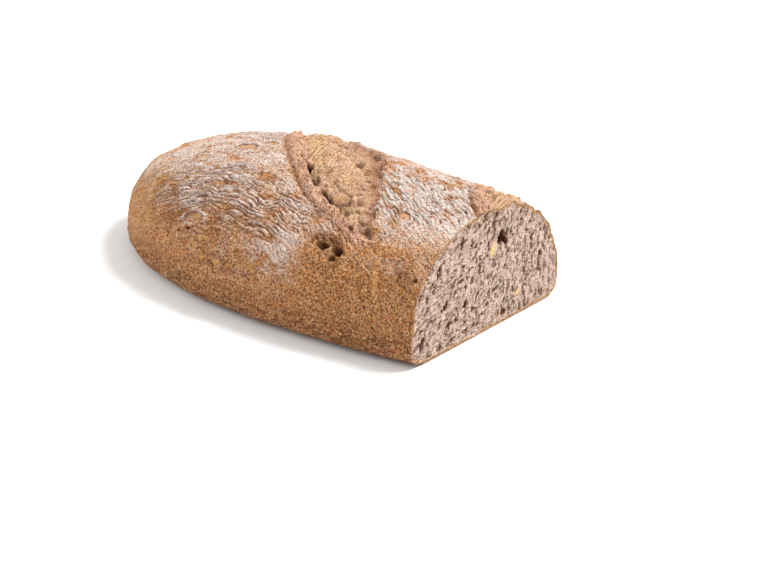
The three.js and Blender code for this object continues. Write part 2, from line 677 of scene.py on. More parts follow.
@dataclass
class Spot(Feature):
    """A small feature about one place."""

    middle: tuple[float, float, float]
    length: float
    width: float
    turn: float = 0.0

    def reaches(self, points: np.ndarray) -> np.ndarray:
        """Which points it may touch."""
        return ((points - np.array(self.middle)) ** 2).sum(1) < (3 * max(self.length, self.width)) ** 2

    def off(self, crust: Surface, ragged: float) -> np.ndarray:
        """How far out each point is.

        Args:
            crust: The crust to work.
            ragged: How uneven the outline is.

        Returns:
            0 in the middle and 1 on the outline.
        """
        along, across = crust.local(self.middle, self.turn)
        uneven = Noise(23).fractal(crust.points, max(1.6, self.width * 0.95), 4)
        return np.hypot(along / self.length, across / self.width) + uneven * ragged


@dataclass
class Blister(Spot):
    """A bubble under the skin that burst along a crescent."""

    height: float = 1.1

    def work(self, crust: Surface) -> None:
        """Raises the bubble, and opens its crescent.

        Args:
            crust: The crust to work.
        """
        off = self.off(crust, 0.12)
        side = crust.local(self.middle, self.turn)[1] / self.width
        bare = smooth(1.0, 0.72, off) * smooth(-0.4, 0.45, side)
        rim = bell(off - 1.1, 0.16) * smooth(-0.5, 0.1, side)
        crust.rise *= 1 - 0.8 * smooth(1.25, 0.9, off)
        crust.rise += self.height * (smooth(1.6, 0.2, off) * 0.8 + rim * 0.9 - bare * 0.6)
        crust.paint[Mask.FLOUR] *= 1 - bare * 0.85
        crust.paint[Mask.FLOUR] += rim * 0.35
        crust.paint[Mask.OPENED] += bare * 0.3
        for mask in (Mask.TOAST_AND_SHADE, Mask.SHADE_IN_HOLLOWS):
            crust.paint[mask] *= 1 - bare
        crust.paint[Mask.GOLDEN] += bare * 0.2
        # A painted shadow line just under the crescent.
        crust.paint[Mask.SHADE_IN_HOLLOWS] += bell(off - 0.93, 0.06) * smooth(-0.2, 0.3, side) * 0.6


@dataclass
class Bubble(Spot):
    """A smooth, golden bubble of dough in the torn crumb."""

    height: float = 1.6

    def work(self, crust: Surface) -> None:
        """Swells the bubble.

        Args:
            crust: The crust to work.
        """
        off = self.off(crust, 0.18)
        inside = smooth(1.05, 0.8, off)
        crust.rise = crust.rise * (1 - 0.75 * inside) + self.height * np.sqrt(np.clip(1.1 - off**2, 0, 1))
        crust.rise -= bell(off - 1.15, 0.14) * 0.7
        # Painted shade is cleared inside the bubble, and a painted shadow rings its border.
        crust.paint[Mask.SHADE_IN_HOLLOWS] *= 1 - inside
        crust.paint[Mask.SHADE_IN_HOLLOWS] += bell(off - 1.12, 0.12) * 0.5
        crust.paint[Mask.GOLDEN] += inside * 0.25
        crust.paint[Mask.TOAST_AND_SHADE] += inside * 0.35


@dataclass
class Pit(Spot):
    """A hole that a gas bubble left in the crust."""

    depth: float = 3.0

    def work(self, crust: Surface) -> None:
        """Sinks the hole.

        Args:
            crust: The crust to work.
        """
        off = self.off(crust, 0.42)
        inside = smooth(1.05, 0.82, off)
        crust.rise -= self.depth * inside
        crust.rise += bell(off - 1.25, 0.2) * 0.35
        # Painted shade fills the hole.
        crust.paint[Mask.SHADE_IN_HOLLOWS] += smooth(0.98, 0.75, off) * min(1.0, self.depth / 3)
        crust.paint[Mask.GOLDEN] += bell(off - 1.2, 0.3) * 0.35
        crust.paint[Mask.FLOUR] *= 1 - smooth(1.6, 1.0, off)


@dataclass
class Crater(Spot):
    """A torn bowl in the crust, with a raised, ragged rim."""

    depth: float = 1.5
    rim: float = 0.9

    def work(self, crust: Surface) -> None:
        """Tears the bowl open.

        Args:
            crust: The crust to work.
        """
        off = self.off(crust, 0.5)
        ragged = Noise(27).fractal(crust.points, 2.8, 3)
        bowl = smooth(1.0, 0.6, off)
        crust.rise += self.rim * bell(off - 1.1, 0.17) * (1 + 1.4 * ragged) - self.depth * bowl
        crust.rise += bowl * Noise(29).fractal(crust.points, 2.4, 3) * 1.3
        crust.paint[Mask.TOAST_AND_SHADE] += smooth(1.2, 0.8, off) * 0.3
        crust.paint[Mask.OPENED] += bowl * 0.3
        crust.paint[Mask.FLOUR] *= 1 - smooth(1.15, 0.85, off) * 0.6
        # Painted shade in the bowl's low, ragged spots.
        crust.paint[Mask.SHADE_IN_HOLLOWS] += bowl * smooth(0.0, 0.8, -ragged) * 0.5


@dataclass
class Crease(Feature):
    """A faint fold that runs down the side from the end of a slash."""

    start: tuple[float, float]
    end: tuple[float, float]
    height: float = 1.0
    width: float = 1.7

    def work(self, crust: Surface) -> None:
        """Raises the fold.

        Args:
            crust: The crust to work.
        """
        x, z = crust.points[:, 0], crust.points[:, 2]
        share = np.clip((self.start[1] - z) / (self.start[1] - self.end[1]), 0, 1)
        wander = Noise(33).fractal(crust.points, 9, 3) * 2.0
        aside = x - (self.start[0] + (self.end[0] - self.start[0]) * share) + wander
        here = np.sin(math.pi * share) * (crust.over < 0)
        crust.rise += here * (bell(aside, self.width) - bell(aside - 2.6, 1.4) * 0.6) * self.height
        crust.paint[Mask.GOLDEN] += here * bell(aside, self.width) * 0.55
        crust.paint[Mask.FLOUR] *= 1 - here * bell(aside, self.width) * 0.7


@dataclass
class Kernel:
    """A chopped piece of walnut kernel, baked into the bread."""

    name: str
    middle: tuple[float, float, float]
    size: tuple[float, float, float]
    turn: float
    seed: int
    toasted: float = 0.0
    sliced_at: float | None = None
    around: int = 64
    up: int = 40
    lobe: float = 0.5
    furrow: float = 0.3
    bump: float = 0.16
    flat: float = 0.25

    def build(self) -> bpy.types.Object:
        """Makes the kernel's mesh: lobed and furrowed, with broken or sliced faces.

        Returns:
            The piece.
        """
        ball = bpy.data.meshes.new(self.name)
        made = bpy.data.objects.new(self.name, ball)
        bpy.context.scene.collection.objects.link(made)
        points, faces = sphere_grid(self.around, self.up)
        noise = Noise(self.seed)
        furrows = noise.fractal(points, 0.62, 2)
        lobes = Noise(self.seed + 1).fractal(points, 1.1, 2)
        rough = Noise(self.seed + 2).fractal(points, 0.3, 3)
        points *= (1 + self.lobe * lobes - self.furrow * np.abs(furrows) + self.bump * rough)[:, None]
        broken = smooth(0.05, 0.35, points @ unit(noise.spots(np.array([[1.0, 2.0, 3.0]]))[0] - 0.5))
        points *= (1 - self.flat * broken)[:, None]
        spin = np.array(Matrix.Rotation(math.radians(self.turn), 3, "X"))
        points = (points * np.array(self.size)) @ spin.T + np.array(self.middle)
        flesh = broken * 0.8
        if self.sliced_at is not None:
            flesh = smooth(-0.15, 0.05, points[:, 0] - self.sliced_at)
            wavy = Noise(self.seed + 5).fractal(points, 1.6, 2) * 0.08
            points[:, 0] = np.minimum(points[:, 0], self.sliced_at + wavy)
        ball.from_pydata((points * METRES).tolist(), [], faces)
        paint(ball, {Mask.FLESH: flesh, Mask.TOAST_AND_SHADE: np.full(len(points), self.toasted)})
        smooth_shaded(ball)
        return made

    def socket(self, crust: Surface) -> None:
        """Tears the crust round a kernel that shows through it.

        Args:
            crust: The crust to work.
        """
        along, across = crust.local(self.middle, 0.0)
        ragged = Noise(self.seed + 8).fractal(crust.points, 3, 2)
        off = np.hypot(along / (self.size[0] * 1.15), across / (self.size[1] * 1.15)) + ragged * 0.25
        crust.rise += bell(off - 1.25, 0.3) * (0.7 + ragged * 2) - smooth(1.0, 0.6, off) * 0.8
        crust.paint[Mask.TOAST_AND_SHADE] += smooth(1.9, 1.1, off) * 0.6
        # A painted shadow line along the socket's rim.
        crust.paint[Mask.SHADE_IN_HOLLOWS] += bell(off - 0.98, 0.12) * smooth(-0.1, 0.3, ragged) * 0.5
        crust.paint[Mask.GOLDEN] += smooth(1.6, 1.0, off) * 0.6
        crust.paint[Mask.FLOUR] *= 1 - smooth(2.0, 1.3, off)


def unit(vector: np.ndarray) -> np.ndarray:
    """The vector at length 1."""
    return vector / np.linalg.norm(vector)


def sphere_grid(around: int, up: int) -> tuple[np.ndarray, list[tuple[int, ...]]]:
    """A unit ball of quads with a fan at each pole.

    Args:
        around: Points in each ring.
        up: Rings between the poles.

    Returns:
        The points and the faces.
    """
    tilt = np.linspace(0, math.pi, up + 2)[1:-1, None]
    turn = np.linspace(0, 2 * math.pi, around, endpoint=False)[None]
    flat = np.sin(tilt)
    rings = np.stack(np.broadcast_arrays(flat * np.cos(turn), flat * np.sin(turn), np.cos(tilt)), -1)
    points = np.concatenate([rings.reshape(-1, 3), [[0, 0, 1.0], [0, 0, -1.0]]])
    faces = [
        (i + j, i + around + j, i + around + (j + 1) % around, i + (j + 1) % around)
        for i in range(0, (up - 1) * around, around)
        for j in range(around)
    ]
    first, last, low = up * around, up * around + 1, (up - 1) * around
    faces += [(first, j, (j + 1) % around) for j in range(around)]
    faces += [(last, low + (j + 1) % around, low + j) for j in range(around)]
    return points, faces


def paint(mesh: bpy.types.Mesh, masks: dict[Mask, np.ndarray]) -> None:
    """Stores masks on a mesh's vertices.

    Args:
        mesh: The mesh to paint.
        masks: One value from 0 to 1 for each vertex, by mask.
    """
    for mask, values in masks.items():
        layer = mesh.attributes.new(mask.value, "FLOAT", "POINT")
        layer.data.foreach_set("value", np.clip(values, 0, 1).astype(np.float32))


def smooth_shaded(mesh: bpy.types.Mesh) -> None:
    """Shades every face smoothly."""
    mesh.polygons.foreach_set("use_smooth", np.ones(len(mesh.polygons), bool))
    mesh.update()


@dataclass
class Crust:
    """The whole outside of the loaf, from the heel to the knife cut."""

    form: LoafForm
    kernels: list[Kernel]
    slash_from_heel: float = 116.0
    slash_pitch: float = 107.0
    slash_count: int = 2
    flour: float = 0.62
    streak: float = 0.3
    lump: float = 1.4
    dent: float = 0.75
    grain: float = 0.45
    curl: float = 0.36

    def build(self) -> tuple[Skin, Surface]:
        """Works the smooth skin into a baked crust.

        Returns:
            The grid it was made on, and the finished surface.
        """
        skin = Skin(self.form)
        crust = Surface(skin.points.reshape(-1, 3), skin.out, skin.over)
        self.dust(crust)
        for feature in self.features():
            crust.work(feature)
        for kernel in self.kernels:
            if kernel.sliced_at is None:
                kernel.socket(crust)
        self.roughen(crust)
        self.settle(crust)
        return skin, crust

    def features(self) -> list[Feature]:
        """What the oven left on the skin, in the order it is worked.

        Returns:
            The features.
        """
        first = self.form.heel_x + self.slash_from_heel
        slashes = [Slash(first + k * self.slash_pitch, seed=3 + 100 * k) for k in range(self.slash_count)]
        return [*slashes, self.wrinkles(), *self.blisters(), *self.holes()]

    def wrinkles(self) -> Wrinkles:
        """The folds, with the patches where they are deepest.

        Returns:
            The folds. Each patch is its X and its distance over the crust, its reach both ways,
            and how deep the folds are there.
        """
        return Wrinkles([
            (-14, -43, 50, 24, 1.0),
            (66, -2, 44, 30, 1.25),
            (44, -40, 34, 12, 0.95),
            (60, -72, 34, 20, 0.45),
            (-66, -22, 34, 34, 0.5),
            (-48, 30, 40, 34, 0.8),
            (62, 52, 36, 24, 0.8),
            (-5, 45, 30, 18, 0.7),
        ])

    def blisters(self) -> list[Feature]:
        """Bubbles under the skin that burst, and the fold down from the first slash.

        Returns:
            The features.
        """
        return [
            Blister((-21.4, -52.6, 35.6), 6.4, 4.0, 12),
            Blister((-29.0, -10.5, 54.3), 6.6, 5.4, 15, height=0.9),
            Blister((-21.0, -2.4, 55.2), 4.6, 3.6, -10, height=0.7),
            Blister((-46.0, -22.0, 50.0), 5.0, 2.6, 30, height=0.6),
            Blister((-38.0, -33.0, 47.0), 4.6, 2.4, 25, height=0.6),
            Blister((75.2, -23.5, 52.8), 4.4, 2.6, -30, height=0.8),
            Blister((48.0, 3.0, 56.0), 4.0, 2.0, -40, height=0.6),
            Blister((-28.0, 53.0, 36.0), 5.4, 3.6, 150),
            Crease((74.0, 47.0), (87.0, 20.0)),
        ]

    def holes(self) -> list[Feature]:
        """Bubbles in the torn crumb, torn bowls and small holes.

        Returns:
            The features.
        """
        return [
            Bubble((40.5, -25.0, 53.9), 5.6, 3.6, -20),
            Bubble((17.0, -9.0, 57.0), 3.2, 2.4, 10, height=1.1),
            Bubble((59.0, -31.0, 51.5), 3.6, 2.4, -35, height=1.0),
            Bubble((2.0, 22.0, 56.0), 5.0, 3.8, 30),
            Crater((52.8, -46.8, 41.2), 8.6, 6.0, -8, depth=1.6, rim=1.1),
            Pit((49.0, -46.9, 41.6), 3.0, 1.9, 15, depth=6.0),
            Pit((56.6, -46.6, 41.3), 3.1, 2.1, -10, depth=7.0),
            Pit((55.6, -50.0, 38.0), 1.7, 1.9, depth=5.5),
            Pit((27.4, 2.5, 57.4), 2.9, 2.1, -10, depth=5.0),
            Crater((36.5, 0.5, 57.6), 4.2, 3.0, 20, depth=0.9, rim=0.3),
            Pit((30.2, -24.2, 54.6), 2.8, 1.1, -38, depth=3.2),
            Pit((20.2, -16.8, 56.2), 1.5, 1.0, -38, depth=2.6),
            Pit((45.6, -8.7, 56.6), 1.1, 1.3, depth=2.2),
            Pit((-23.0, -54.8, 32.0), 1.1, 0.8, depth=2.2),
            Crater((94.0, -45.6, 36.4), 5.5, 3.4, -25, depth=0.6, rim=0.9),
            Pit((98.2, -44.0, 37.4), 1.0, 0.8, depth=2.0),
            Crater((-66.0, 33.0, 37.0), 6.0, 4.4, 30, depth=1.2),
            Pit((-65.4, 33.6, 36.6), 2.2, 1.6, depth=3.6),
        ]

    def dust(self, crust: Surface) -> None:
        """Lays the first flour, on what faces up, and paints the sides darker and redder toward the base,
        partly a lower crust baked darker on the hearth and partly painted shade.

        Args:
            crust: The crust to work.
        """
        x, z = crust.points[:, 0], crust.points[:, 2]
        patches = Noise(41).fractal(crust.points, 24, 4)
        streaks = Noise(43).fractal(crust.points * np.array([0.6, 1, 1]), 6, 3)
        high = smooth(14, 56, z + patches * 14)
        rubbed = smooth(0.05, 0.4, Noise(45).fractal(crust.points * np.array([0.7, 1.2, 1.2]), 9, 3))
        drifts = self.streak * streaks * smooth(4, 30, z)
        crust.paint[Mask.FLOUR] += self.flour * high + drifts + 0.12 * patches
        crust.paint[Mask.FLOUR] += smooth(-10, -60, x) * smooth(34, 46, z) * 0.12
        crust.paint[Mask.FLOUR] += smooth(20, 70, x) * (smooth(44, 55, z) * 0.48 - 0.3) - rubbed * 0.6
        # Darker and redder toward the base, partly a darker-baked lower crust and partly painted shade, with
        # redder patches at random.
        low = smooth(26, 3, z + patches * 8)
        crust.paint[Mask.TOAST_AND_SHADE] += low + smooth(0.1, 0.7, Noise(47).fractal(crust.points, 15, 3)) * 0.35
        crust.paint[Mask.GOLDEN] += smooth(0.1, 0.7, Noise(49).fractal(crust.points, 10, 3)) * 0.4
        # Lighter and more golden toward the heel's end, partly its own colour and partly painted light.
        crust.paint[Mask.GOLDEN] += smooth(-30, -85, x) * 0.7

    def roughen(self, crust: Surface) -> None:
        """Adds the lumps and the coarse grain that cover the whole crust.

        Args:
            crust: The crust to work.
        """
        points = crust.points
        bare = 1 - 0.6 * crust.paint[Mask.OPENED]
        crust.rise += Noise(51).fractal(points, 40, 2) * self.lump
        crust.rise += Noise(53).fractal(points, 13, 2) * self.dent
        crust.rise += Noise(54).fractal(points, 4.5, 3) * self.grain * bare
        curls = Noise(55).fractal(points, 1.9, 2)
        crust.rise += (0.5 - np.abs(curls) * 1.6) * self.curl
        low = smooth(20, 6, points[:, 2])
        folds = Noise(59).fractal(points * np.array([0.13, 0.4, 0.5]), 1.8, 3)
        creases = smooth(0.88, 1.0, 1 - np.abs(folds))
        crust.rise -= low * creases * 0.9
        # Painted shade in the creases near the base.
        crust.paint[Mask.SHADE_IN_HOLLOWS] += low * creases * 0.5

    def settle(self, crust: Surface) -> None:
        """Fades the working out toward the base, so the underside stays flat on the hearth.

        Args:
            crust: The crust to work.
        """
        held = smooth(0.4, 8, crust.points[:, 2])
        flat = Noise(61).fractal(crust.points, 6, 3) * 0.25 + 0.25
        crust.rise *= held
        crust.lean *= held[:, None]
        crust.rise -= (1 - held) * np.clip(flat, 0, 1) * (crust.out[:, 2] < -0.9)
        crust.paint[Mask.FLOUR] *= held


@dataclass
class CutFace:
    """The open crumb that the knife left."""

    form: LoafForm
    rings: int = 150
    middle: tuple[float, float] = (0.0, 25.0)
    rind: float = 1.2
    pore_count: int = 2500
    seed: int = 71

    def build(self, edge: np.ndarray) -> tuple[np.ndarray, dict[Mask, np.ndarray]]:
        """Makes the face inside the crust's edge.

        Args:
            edge: The last ring of the crust.

        Returns:
            The face's points, ring by ring inward and then the middle one, and its masks.
        """
        shares = np.linspace(1, 0, self.rings + 2)[1:-1, None, None]
        middle = np.array([edge[0, 0], *self.middle])
        rings = middle + (edge[None] - middle) * shares
        points = np.concatenate([rings.reshape(-1, 3), middle[None]])
        inset = self.inset(points, edge)
        hollow = self.pores(points) * smooth(0.5, 2.2, inset)
        thick = self.rind + Noise(73).fractal(points, 2.4, 3) * 1.3
        rind = smooth(0.5, -0.5, inset - thick)
        torn = Noise(75).fractal(points, 1.1, 3) * 0.16 + Noise(76).fractal(points, 4.5, 2) * 0.22
        quiet = smooth(0.0, 1.0, inset)
        points = points.copy()
        points[:, 0] -= (hollow + np.clip(torn + 0.15, 0, None) * 0.8) * quiet
        masks = {mask: np.zeros(len(points)) for mask in Mask}
        # Painted shade in the pores, darker the deeper they are.
        masks[Mask.SHADE_IN_HOLLOWS] = np.clip(hollow / 1.5, 0, 1) ** 0.8
        masks[Mask.GOLDEN] = rind
        return points, masks

    @staticmethod
    def inset(points: np.ndarray, edge: np.ndarray) -> np.ndarray:
        """How far each point is from the crust.

        Args:
            points: Points of the face.
            edge: The last ring of the crust.

        Returns:
            The distance for each point.
        """
        nearest = np.full(len(points), np.inf)
        for spot in edge[::2, 1:]:
            nearest = np.minimum(nearest, ((points[:, 1:] - spot) ** 2).sum(1))
        return np.sqrt(nearest)

    def pores(self, points: np.ndarray) -> np.ndarray:
        """How deep the gas holes are.

        Args:
            points: Points of the face.

        Returns:
            The depth at each point.
        """
        draw = np.random.default_rng(self.seed)
        warp = [Noise(81 + k).fractal(points, 2.0, 4) * 0.75 for k in range(2)]
        y, z = points[:, 1] + warp[0], points[:, 2] + warp[1]
        depth = np.zeros(len(points))
        half = self.form.width / 2
        for _ in range(self.pore_count):
            at_y, at_z = draw.uniform(-half, half), draw.uniform(2, self.form.top)
            width = 0.2 + 0.19 * draw.gamma(1.2, 0.62)
            length = width * draw.uniform(1.3, 3.8)
            lean = math.radians(30 - 26 * at_y / half + draw.normal(0, 14))
            self.sink(depth, y - at_y, z - at_z, (width, length), lean, draw.uniform(1.1, 1.9))
        for at_y, at_z, width, length, degrees, deep in self.large_pores():
            self.sink(depth, y - at_y, z - at_z, (width, length), math.radians(degrees), deep)
        return depth

    def large_pores(self) -> list[tuple[float, ...]]:
        """The holes that stand out.

        Returns:
            Each hole's Y and Z, its half width and half length, its lean in degrees and its depth.
        """
        return [
            (9.5, 41.2, 2.5, 3.6, 12, 2.9),
            (12.2, 38.8, 1.6, 3.0, -35, 2.8),
            (-44.5, 9.0, 1.1, 4.0, 18, 2.8),
            (-33.0, 40.5, 0.8, 2.4, 50, 1.8),
            (-15.0, 18.0, 1.3, 2.2, 10, 2.2),
            (31.0, 34.0, 1.0, 1.9, 0, 2.0),
            (38.0, 24.0, 1.2, 1.6, -20, 2.2),
            (-28.0, 22.0, 1.1, 2.6, 25, 2.0),
        ]

    @staticmethod
    def sink(
        depth: np.ndarray, y: np.ndarray, z: np.ndarray, size: tuple[float, float], lean: float, deep: float
    ) -> None:
        """Sinks one pore into the face.

        Args:
            depth: The depths so far, which this deepens.
            y: Distance from the pore's middle, across the loaf.
            z: Distance from the pore's middle, up.
            size: Half width and half length.
            lean: How far the pore leans toward +Y.
            deep: Depth for each millimetre of half width.
        """
        width, length = size
        near = np.flatnonzero(np.abs(y) + np.abs(z) < 1.5 * length + width)
        y, z = y[near], z[near]
        along, across = z * math.cos(lean) + y * math.sin(lean), y * math.cos(lean) - z * math.sin(lean)
        within = np.clip(1 - (along / length) ** 2 - (across / width) ** 2, 0, 1)
        depth[near] = np.maximum(depth[near], deep * (0.4 + 0.6 * width) * within**0.4)


@dataclass
class Bread:
    """The crust and the crumb, baked and cut as one solid."""

    form: LoafForm
    kernels: list[Kernel]

    def build(self) -> bpy.types.Object:
        """Joins the crust and the cut face in one closed mesh.

        Returns:
            The piece.
        """
        skin, crust = Crust(self.form, self.kernels).build()
        outside = crust.finished()
        outside[-skin.around :, 0] = self.form.cut_x
        outside[:, 0] = np.minimum(outside[:, 0], self.form.cut_x)
        outside[:, 2] = np.maximum(outside[:, 2], 0)
        edge = outside[-skin.around :]
        inside, masks = CutFace(self.form).build(edge)
        heel = outside[: skin.around].mean(0)
        points = np.concatenate([outside, inside, heel[None]])
        mesh = bpy.data.meshes.new("bread")
        faces, crumb_from = self.faces(skin.rings, skin.around, len(inside), len(points))
        mesh.from_pydata((points * METRES).tolist(), [], faces)
        paint(mesh, {m: np.concatenate([crust.paint[m], masks[m], crust.paint[m][:1]]) for m in Mask})
        index = (np.arange(len(faces)) >= crumb_from[0]) & (np.arange(len(faces)) < crumb_from[1])
        mesh.polygons.foreach_set("material_index", index.astype(np.int32))
        smooth_shaded(mesh)
        made = bpy.data.objects.new("bread", mesh)
        bpy.context.scene.collection.objects.link(made)
        return made

    @staticmethod
    def faces(
        rings: int, around: int, inner: int, total: int
    ) -> tuple[list[tuple[int, ...]], tuple[int, int]]:
        """The mesh's faces.

        Args:
            rings: Rings of the crust.
            around: Points in a ring.
            inner: Points inside the cut face's edge, the middle one included.
            total: All the points, the last of them the heel's tip.

        Returns:
            The faces, and the first and one past the last of those on the cut face.
        """
        crust_points = rings * around
        rows = rings + (inner - 1) // around
        made = []
        for i in range(rows - 1):
            a, b = i * around, (i + 1) * around
            made += [(a + j, a + (j + 1) % around, b + (j + 1) % around, b + j) for j in range(around)]
        first = (rings - 1) * around
        last = (rows - 1) * around
        made += [(last + j, last + (j + 1) % around, crust_points + inner - 1) for j in range(around)]
        end = len(made)
        made += [((j + 1) % around, j, total - 1) for j in range(around)]
        return made, (first, end)


class Graph:
    """A small helper that adds nodes to a material or a group and links them."""

    def __init__(self, tree: bpy.types.NodeTree) -> None:
        """Works on one node tree."""
        self.tree = tree

    def node(self, kind: str, inputs: dict[str, object] | None = None, **settings: object) -> bpy.types.Node:
        """Adds a node.

        Args:
            kind: The node's type.
            inputs: Values or sockets for its inputs, by name.
            settings: The node's own properties.

        Returns:
            The node.
        """
        made = self.tree.nodes.new(kind)
        for name, value in settings.items():
            setattr(made, name, value)
        for name, value in (inputs or {}).items():
            self.feed(made.inputs[name], value)
        return made

    def feed(self, socket: bpy.types.NodeSocket, value: object) -> None:
        """Sets an input to a value, or links it to a socket.

        Args:
            socket: The input.
            value: A plain value, or the socket that feeds it.
        """
        if isinstance(value, bpy.types.NodeSocket):
            self.tree.links.new(value, socket)
        else:
            socket.default_value = value

    def painted(self, mask: Mask) -> bpy.types.NodeSocket:
        """What is painted on the mesh for that mask."""
        return self.node("ShaderNodeAttribute", attribute_name=mask.value).outputs["Fac"]

    def waves(
        self, scale: object, detail: float, roughness: float, curled: float = 0.0
    ) -> bpy.types.NodeSocket:
        """Noise in object space.

        Args:
            scale: Waves to the metre.
            detail: How many finer sizes lie on them.
            roughness: How strong the finer ones are.
            curled: How much the waves curl.

        Returns:
            The noise, mostly between 0.3 and 0.7.
        """
        inputs = {"Scale": scale, "Detail": detail, "Roughness": roughness, "Distortion": curled}
        inputs["Vector"] = self.node("ShaderNodeTexCoord").outputs["Object"]
        return self.node("ShaderNodeTexNoise", inputs).outputs["Fac"]

    def math(self, kind: str, a: object, b: object = 0.0) -> bpy.types.NodeSocket:
        """One sum of two values.

        Args:
            kind: Which sum.
            a: A value or a socket.
            b: A value or a socket, for a sum that takes two.

        Returns:
            The result.
        """
        made = self.node("ShaderNodeMath", operation=kind)
        self.feed(made.inputs[0], a)
        self.feed(made.inputs[1], b)
        return made.outputs[0]

    def times(self, a: object, b: object) -> bpy.types.NodeSocket:
        """One value times another."""
        return self.math("MULTIPLY", a, b)

    def remap(
        self, value: object, low: float, high: float, to_low: float = 0.0, to_high: float = 1.0
    ) -> bpy.types.NodeSocket:
        """A soft step of a value from one range to another.

        Args:
            value: What is stepped.
            low: Where the step starts.
            high: Where it ends, which may be below the start.
            to_low: What it gives at the start.
            to_high: What it gives at the end.

        Returns:
            The stepped value.
        """
        inputs = {"Value": value, "From Min": low, "From Max": high, "To Min": to_low, "To Max": to_high}
        return self.node("ShaderNodeMapRange", inputs, interpolation_type="SMOOTHSTEP").outputs["Result"]

    def mix(self, share: object, a: object, b: object) -> bpy.types.NodeSocket:
        """A mix of two colours.

        Args:
            share: 0 for a, 1 for b.
            a: A colour or a socket.
            b: A colour or a socket.

        Returns:
            The mixed colour.
        """
        made = self.node("ShaderNodeMix", data_type="RGBA")
        for index, value in ((0, share), (6, a), (7, b)):
            self.feed(made.inputs[index], (*value, 1.0) if isinstance(value, tuple) else value)
        return made.outputs[2]


class SharedGroup:
    """A node group that is made once, for every finish that asks for it."""

    name: str
    takes: tuple[str, ...]
    gives: tuple[str, ...]

    @classmethod
    def tree(cls) -> bpy.types.NodeTree:
        """The group, made the first time it is asked for.

        Returns:
            The group's node tree.
        """
        if cls.name in bpy.data.node_groups:
            return bpy.data.node_groups[cls.name]
        tree = bpy.data.node_groups.new(cls.name, "ShaderNodeTree")
        for labels, way in ((cls.takes, "INPUT"), (cls.gives, "OUTPUT")):
            for label in labels:
                tree.interface.new_socket(label, in_out=way, socket_type="NodeSocketFloat")
        graph = Graph(tree)
        given, result = graph.node("NodeGroupInput"), graph.node("NodeGroupOutput")
        for label, value in cls.wire(graph, {label: given.outputs[label] for label in cls.takes}).items():
            graph.feed(result.inputs[label], value)
        return tree

    @classmethod
    def wire(cls, graph: Graph, given: dict[str, bpy.types.NodeSocket]) -> dict[str, bpy.types.NodeSocket]:
        """Makes the group's nodes from what it takes, and says which socket gives what."""
        raise NotImplementedError


class GrainGroup(SharedGroup):
    """What every baked surface has: mottling, specks, fine raised curls and a height."""

    name = "baked_grain"
    takes = ("Coarse", "Fine")
    gives = ("Mottle", "Speck", "Curl", "Height")

    @classmethod
    def wire(cls, graph: Graph, given: dict[str, bpy.types.NodeSocket]) -> dict[str, bpy.types.NodeSocket]:
        """Makes the group's nodes.

        Args:
            graph: A helper on the group.
            given: What the group takes, by name.

        Returns:
            What the group gives, by name.
        """
        mottle = graph.waves(given["Coarse"], 4.0, 0.6)
        speck = graph.waves(given["Fine"], 3.0, 0.65)
        curl = graph.waves(graph.times(given["Fine"], 0.7), 2.0, 0.5, curled=1.2)
        ridge = graph.remap(graph.math("ABSOLUTE", graph.math("SUBTRACT", curl, 0.5)), 0.075, 0.0)
        return {
            "Mottle": graph.remap(mottle, 0.34, 0.66),
            "Speck": graph.remap(speck, 0.41, 0.59),
            "Curl": ridge,
            "Height": graph.math("ADD", speck, graph.times(ridge, 0.35)),
        }


class DustGroup(SharedGroup):
    """Flour that clings to the raised curls first, and in grains between them."""

    name = "flour_dust"
    takes = ("Amount", "Curl", "Grains")
    gives = ("Dust",)

    @classmethod
    def wire(cls, graph: Graph, given: dict[str, bpy.types.NodeSocket]) -> dict[str, bpy.types.NodeSocket]:
        """Makes the group's nodes.

        Args:
            graph: A helper on the group.
            given: What the group takes, by name.

        Returns:
            What the group gives, by name.
        """
        fine = graph.remap(graph.waves(given["Grains"], 3.0, 0.7), 0.34, 0.66)
        cling = graph.math("ADD", graph.times(fine, 0.65), graph.times(given["Curl"], 0.35))
        over = graph.math("SUBTRACT", graph.math("ADD", cling, given["Amount"]), 1.0)
        return {"Dust": graph.remap(over, -0.24, 0.27)}


def new_material(name: str) -> tuple[bpy.types.Material, bpy.types.Node]:
    """Starts a material.

    Args:
        name: The material's name.

    Returns:
        The material, and its Principled shader.
    """
    material = bpy.data.materials.new(name)
    material.use_nodes = True
    return material, material.node_tree.nodes["Principled BSDF"]


@dataclass(frozen=True)
class Grain:
    """How coarse, how raised and how shiny a finish is. The two sizes are waves to the metre."""

    coarse: float
    fine: float
    relief_m: float
    strength: float = 1.0
    shine: float = 0.5


class Baked(Graph):
    """The nodes of one baked material, with the grain that all of them share."""

    def __init__(self, slot: Slot, grain: Grain) -> None:
        """Starts the material.

        Args:
            slot: The slot it is named after.
            grain: How coarse, raised and shiny it is.
        """
        self.material, self.shader = new_material(slot.value)
        super().__init__(self.material.node_tree)
        self.grain = grain
        inputs = {"Coarse": grain.coarse, "Fine": grain.fine}
        outputs = self.node("ShaderNodeGroup", inputs, node_tree=GrainGroup.tree()).outputs
        self.mottle, self.speck, self.curl, self.height = (outputs[label] for label in GrainGroup.gives)

    def dress(self, colour: bpy.types.NodeSocket, roughness: bpy.types.NodeSocket) -> bpy.types.Material:
        """Wires the shader.

        Args:
            colour: The finish's colour.
            roughness: Its roughness.

        Returns:
            The material.
        """
        bump = {"Height": self.height, "Strength": self.grain.strength, "Distance": self.grain.relief_m}
        normal = self.node("ShaderNodeBump", bump).outputs["Normal"]
        wired = {"Base Color": colour, "Roughness": roughness, "Normal": normal}
        for label, value in {**wired, "Specular IOR Level": self.grain.shine}.items():
            self.feed(self.shader.inputs[label], value)
        return self.material


